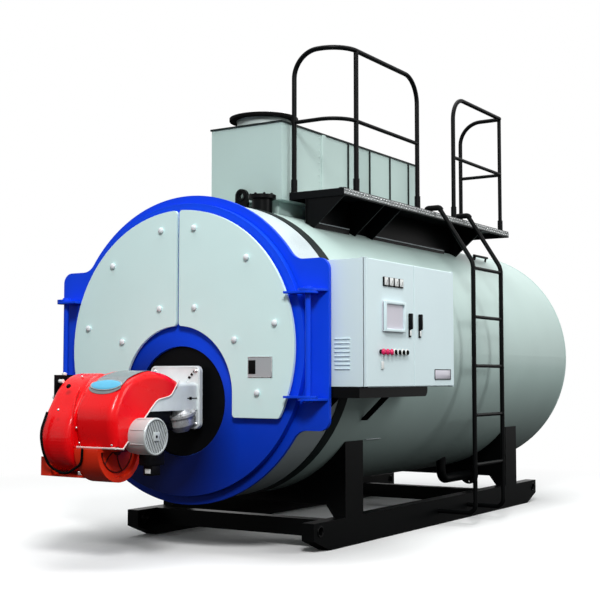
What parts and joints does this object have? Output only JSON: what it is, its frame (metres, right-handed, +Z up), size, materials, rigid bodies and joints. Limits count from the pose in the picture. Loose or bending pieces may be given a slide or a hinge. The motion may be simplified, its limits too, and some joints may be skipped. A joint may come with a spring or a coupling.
{
  "type": "industrial boiler",
  "caption": "Horizontal fire-tube boiler on a skid with a burner on a hinged front door, a control cabinet, an economizer, a side platform and a ladder.",
  "frame": {"origin": "centre of the four anchor bolt holes, on the floor under the skid beams", "axes": "+Z up, +X towards the control cabinet and the ladder, -Y towards the burner end"},
  "size_m": [2.381, 5.282, 3.357],
  "materials": {
    "black_paint": "satin",
    "blue_paint": "satin",
    "refractory": "matte",
    "silver_cladding": "satin",
    "pale_cladding": "satin",
    "dark_band": "satin",
    "cover_white": "satin",
    "knob_white": "gloss",
    "plate_grey": "brushed",
    "boiler_steel": "matte",
    "burner_red": "gloss",
    "cast_black": "matte",
    "cream_casting": "satin",
    "orange_paint": "satin",
    "motor_grey": "satin",
    "cabinet_white": "satin",
    "handle_black": "matte",
    "panel_dark": "matte",
    "panel_pale": "gloss",
    "flue_paint": "satin",
    "checker_deck": "satin"
  },
  "bodies": {
    "boiler": {"blow_down_pipe": "black_paint", "cabinet_body": "cabinet_white", "cabinet_shelf": "black_paint", "cross_beams": "black_paint", "ear_lugs": "blue_paint", "economizer_base": "pale_cladding", "economizer_casing": "pale_cladding", "economizer_lid": "dark_band", "economizer_straps": "dark_band", "flue_outlet": "flue_paint", "front_band": "dark_band", "front_plate": "blue_paint", "front_railing": "black_paint", "front_saddle": "black_paint", "front_section": "silver_cladding", "furnace_tube": "boiler_steel", "hinge_rods": "blue_paint", "ladder": "black_paint", "lifting_lugs": "black_paint", "platform_brackets": "black_paint", "platform_deck": "checker_deck", "platform_web": "black_paint", "rear_end": "pale_cladding", "rear_railing": "black_paint", "rear_saddle": "black_paint", "shell_cladding": "pale_cladding", "skid_beams": "black_paint", "top_handhole": "black_paint", "tube_plate": "boiler_steel"},
    "front_door_body": {"front_door": "blue_paint", "door_lining": "refractory", "door_lugs": "blue_paint", "cover_left": "cover_white", "cover_right": "cover_white", "cover_studs": "knob_white", "name_plate": "plate_grey", "burner_mount": "cast_black", "blast_tube": "boiler_steel", "burner_flange": "cream_casting", "burner_duct": "cream_casting", "burner_hood": "burner_red", "fan_housing": "orange_paint", "fan_scroll": "burner_red", "air_box": "orange_paint", "fan_motor": "motor_grey", "gas_inlet": "cast_black", "switch_bracket": "cast_black"},
    "cabinet_door_left_body": {"cabinet_door_left": "cabinet_white", "cabinet_handle_left": "handle_black", "panel_meters": "panel_dark", "panel_screen": "panel_pale", "panel_buttons": "panel_dark"},
    "cabinet_door_right_body": {"cabinet_door_right": "cabinet_white", "cabinet_handle_right": "handle_black", "rating_plate": "plate_grey"}
  },
  "joints": [
    {"name": "front_door_hinge", "type": "hinge", "parent": "boiler", "child": "front_door_body", "pos_m": [-0.971, -2.287, 0.976], "axis": [0, 0, -1], "range_deg": [0, 100]},
    {"name": "cabinet_door_left_hinge", "type": "hinge", "parent": "boiler", "child": "cabinet_door_left_body", "pos_m": [1.278, -2.135, 1.045], "axis": [0, 0, -1], "range_deg": [0, 110]},
    {"name": "cabinet_door_right_hinge", "type": "hinge", "parent": "boiler", "child": "cabinet_door_right_body", "pos_m": [1.278, -0.953, 1.045], "axis": [0, 0, 1], "range_deg": [0, 110]}
  ]
}
